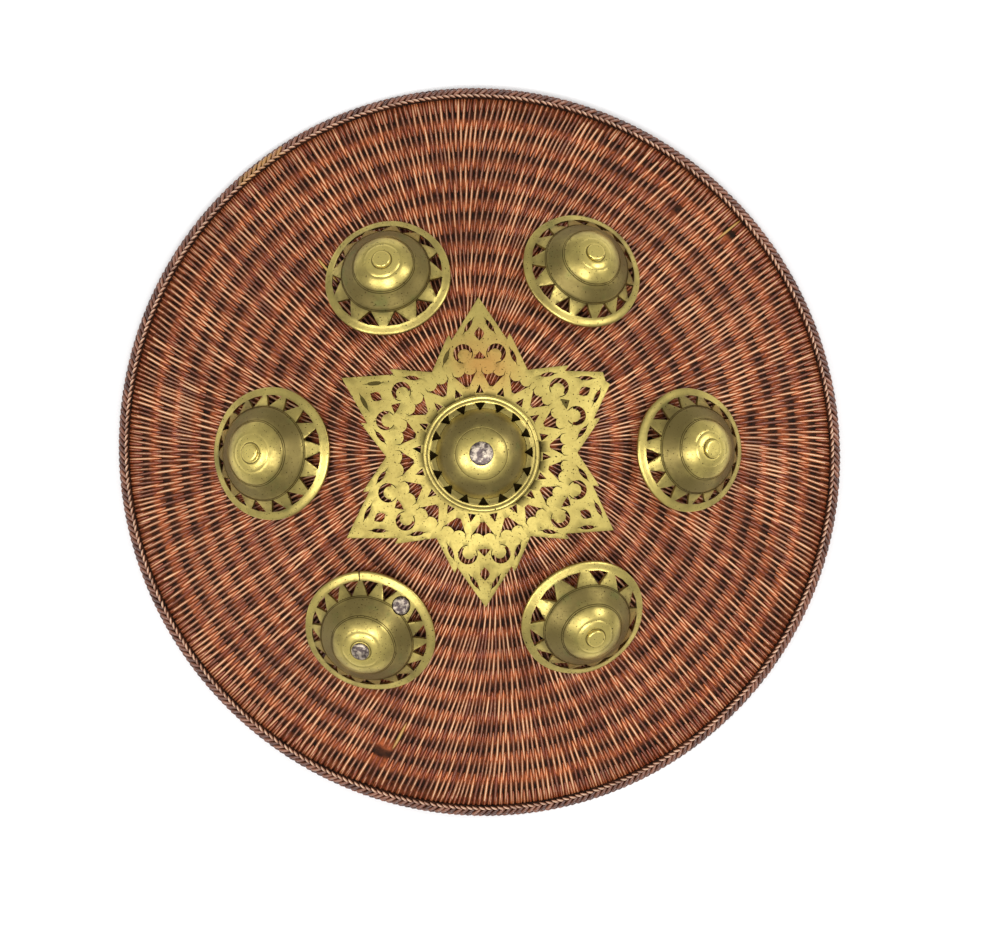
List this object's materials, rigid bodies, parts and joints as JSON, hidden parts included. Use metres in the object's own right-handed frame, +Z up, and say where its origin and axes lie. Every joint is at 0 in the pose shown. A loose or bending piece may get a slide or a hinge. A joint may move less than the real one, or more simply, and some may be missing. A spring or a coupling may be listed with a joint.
{
  "type": "buckler shield",
  "caption": "Round domed buckler of coiled, sewn cane with a plaited rim, a pierced brass star plate and openwork brass bosses, and two cane grips behind.",
  "frame": {"origin": "middle of the box at the level of the surface that the rim lies on", "axes": "+Z up through the middle of the dome, out of the face; +Y towards the top of the shield as it is carried; +X to its right seen from the front"},
  "size_m": [0.3982, 0.4018, 0.1023],
  "materials": {
    "cane": "red-brown split cane, worn to a soft gloss",
    "plaited_cane": "dark plaited cane, satin",
    "star_brass": "yellow sheet brass, filed, with dirt in the openings",
    "boss_brass": "turned cast brass, dull olive with bright worn places",
    "white_metal": "dull grey white metal, hammered"
  },
  "bodies": {
    "root": {"woven_body": "cane", "rim_binding": "plaited_cane", "star_plate": "star_brass", "centre_boss": "boss_brass", "centre_rivet": "white_metal", "centre_rove": "boss_brass", "boss_upper_left": "boss_brass", "boss_upper_right": "boss_brass", "boss_left": "boss_brass", "boss_right": "boss_brass", "boss_lower_left": "boss_brass", "boss_lower_right": "boss_brass", "rivet_upper_left": "boss_brass", "rivet_upper_right": "boss_brass", "rivet_left": "boss_brass", "rivet_right": "boss_brass", "rivet_lower_left": "white_metal", "rivet_lower_right": "boss_brass", "rove_upper_left": "boss_brass", "rove_upper_right": "boss_brass", "rove_left": "boss_brass", "rove_right": "boss_brass", "rove_lower_left": "boss_brass", "rove_lower_right": "boss_brass", "repair_plug": "white_metal", "grip_left": "plaited_cane", "grip_right": "plaited_cane"}
  },
  "joints": []
}
